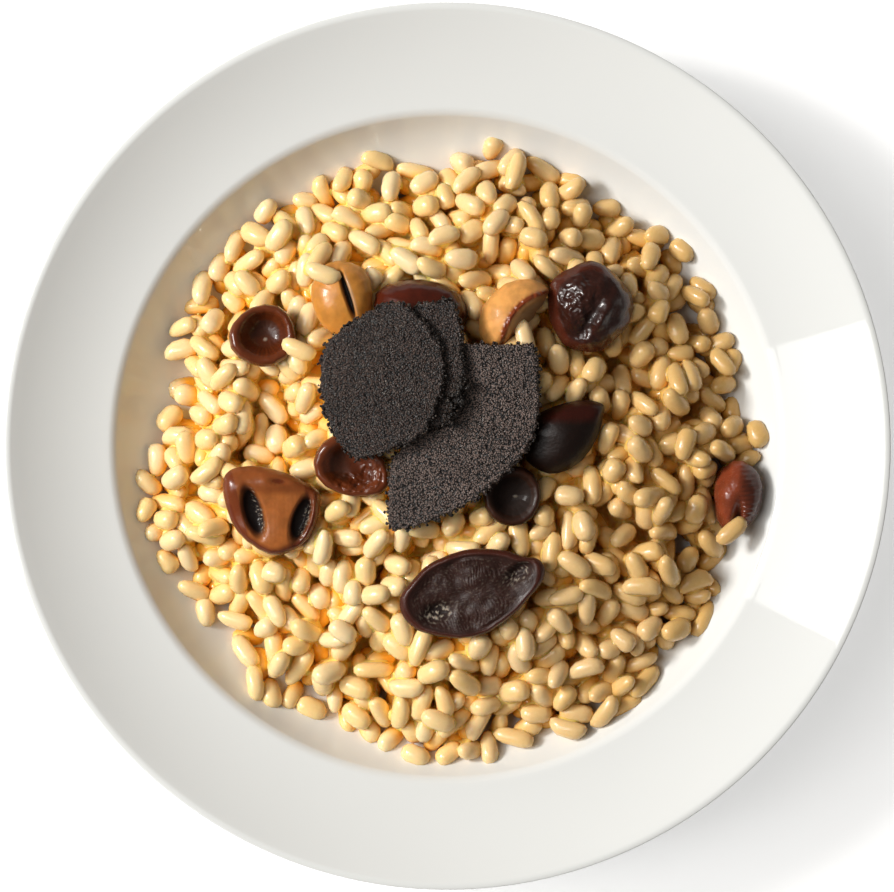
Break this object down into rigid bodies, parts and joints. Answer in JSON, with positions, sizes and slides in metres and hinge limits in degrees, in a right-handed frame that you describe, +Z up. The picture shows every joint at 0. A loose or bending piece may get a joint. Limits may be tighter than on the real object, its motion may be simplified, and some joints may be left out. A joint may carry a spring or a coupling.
{
  "type": "mushroom risotto in a plate",
  "caption": "Heap of creamy risotto with mushrooms and black truffle shavings in a white wide-rimmed pasta plate.",
  "frame": {"origin": "centre of the plate's foot ring, on the surface it stands on", "axes": "+Z up out of the plate, +X to the right and +Y to the back as it stands before its eater"},
  "size_m": [0.25, 0.25, 0.05],
  "materials": {
    "glaze": "gloss",
    "rice": "satin",
    "mushroom_brown": "gloss",
    "mushroom_tan": "satin",
    "truffle": "matte"
  },
  "bodies": {
    "root": {"plate": "glaze", "risotto": "rice", "mushroom_cup_left": "mushroom_brown", "mushroom_cup_red": "mushroom_brown", "mushroom_cup_shaded": "mushroom_brown", "mushroom_cap_back": "mushroom_brown", "mushroom_cap_round": "mushroom_brown", "mushroom_cap_pointed": "mushroom_brown", "mushroom_cap_long": "mushroom_brown", "mushroom_rolled": "mushroom_brown", "mushroom_slice_gilled": "mushroom_tan", "mushroom_slice_upper": "mushroom_tan", "mushroom_crescent": "mushroom_tan", "truffle_slice_fan": "truffle", "truffle_slice_back": "truffle", "truffle_slice_round": "truffle"}
  },
  "joints": []
}
